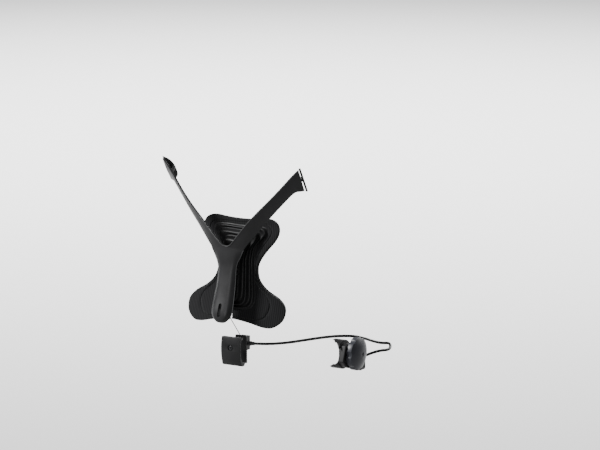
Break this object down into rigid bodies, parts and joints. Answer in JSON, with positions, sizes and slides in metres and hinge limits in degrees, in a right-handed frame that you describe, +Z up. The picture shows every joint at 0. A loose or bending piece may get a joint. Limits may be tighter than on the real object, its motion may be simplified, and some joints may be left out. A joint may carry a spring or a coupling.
{
  "type": "chair back brace",
  "caption": "Forked back brace for a task chair: two arms rise to rail shoes from a stem that carries a rocking butterfly pad, with a wire to a side dial on a clamp.",
  "frame": {"origin": "head of the centre bracket's screw, at the bracket's rear face, on the plane of symmetry of the yoke and the pad", "axes": "+X to the sitter's right, +Y forward to the sitter, +Z up"},
  "size_m": [0.3625, 0.2199, 0.3589],
  "materials": {
    "moulded_black": "fine-grained satin moulding",
    "carrier_black": "smooth satin moulding",
    "bracket_black": "fine-grained satin moulding",
    "knob_black": "smooth satin moulding with a soft sheen",
    "pad_fabric": "ribbed knit",
    "rubber_black": "matte",
    "nylon_black": "smooth, slightly waxy",
    "sheath_black": "smooth extruded",
    "dark_steel": "black oxide",
    "wire_steel": "bright stranded"
  },
  "bodies": {
    "mounts": {"centre_bracket": "bracket_black", "centre_screw": "dark_steel", "bracket_clip": "bracket_black", "guide_ferrule": "nylon_black", "cable_sheath": "sheath_black", "case_ferrule": "nylon_black", "actuator_saddle": "bracket_black", "saddle_liner": "rubber_black", "saddle_screws": "dark_steel", "actuator_case": "bracket_black", "case_cover": "bracket_black", "case_screws": "dark_steel", "detent_spring": "dark_steel", "tip_shoe_left": "moulded_black", "tip_shoe_right": "moulded_black"},
    "dial": {"dial_knob": "knob_black", "dial_screw": "dark_steel", "spindle": "dark_steel", "cable_spool": "nylon_black", "retaining_clip": "dark_steel"},
    "yoke": {"yoke_frame": "moulded_black", "tip_pin_left": "dark_steel", "tip_pin_right": "dark_steel", "stem_anchor": "moulded_black", "rock_pin": "dark_steel", "rock_bumpers": "rubber_black"},
    "wire": {"wire_nipple": "dark_steel", "pull_wire": "wire_steel"},
    "pad": {"pad_carrier": "carrier_black", "pad_cushion": "pad_fabric", "rock_bushings": "nylon_black"}
  },
  "joints": [
    {"name": "dial_turn", "type": "hinge", "parent": "mounts", "child": "dial", "pos_m": [0.204, 0.071, 0], "axis": [1, 0, 0], "range_deg": [0, 135]},
    {"name": "yoke_swing", "type": "hinge", "parent": "mounts", "child": "yoke", "pos_m": [0, 0.018, 0.302], "axis": [1, 0, 0], "range_deg": [0, 5.01]},
    {"name": "wire_pivot", "type": "hinge", "parent": "yoke", "child": "wire", "pos_m": [0, -0.0225, 0.079], "axis": [1, 0, 0], "range_deg": [-14.5, 0]},
    {"name": "pad_rock", "type": "hinge", "parent": "yoke", "child": "pad", "pos_m": [0, -0.001, 0.136], "axis": [1, 0, 0], "range_deg": [-4, 4], "stiffness_Nm_per_rad": 8}
  ],
  "couplings": [
    {"joint": "yoke_swing", "follows": "dial_turn", "ratio": 0.037037},
    {"joint": "wire_pivot", "follows": "dial_turn", "ratio": -0.1068}
  ]
}
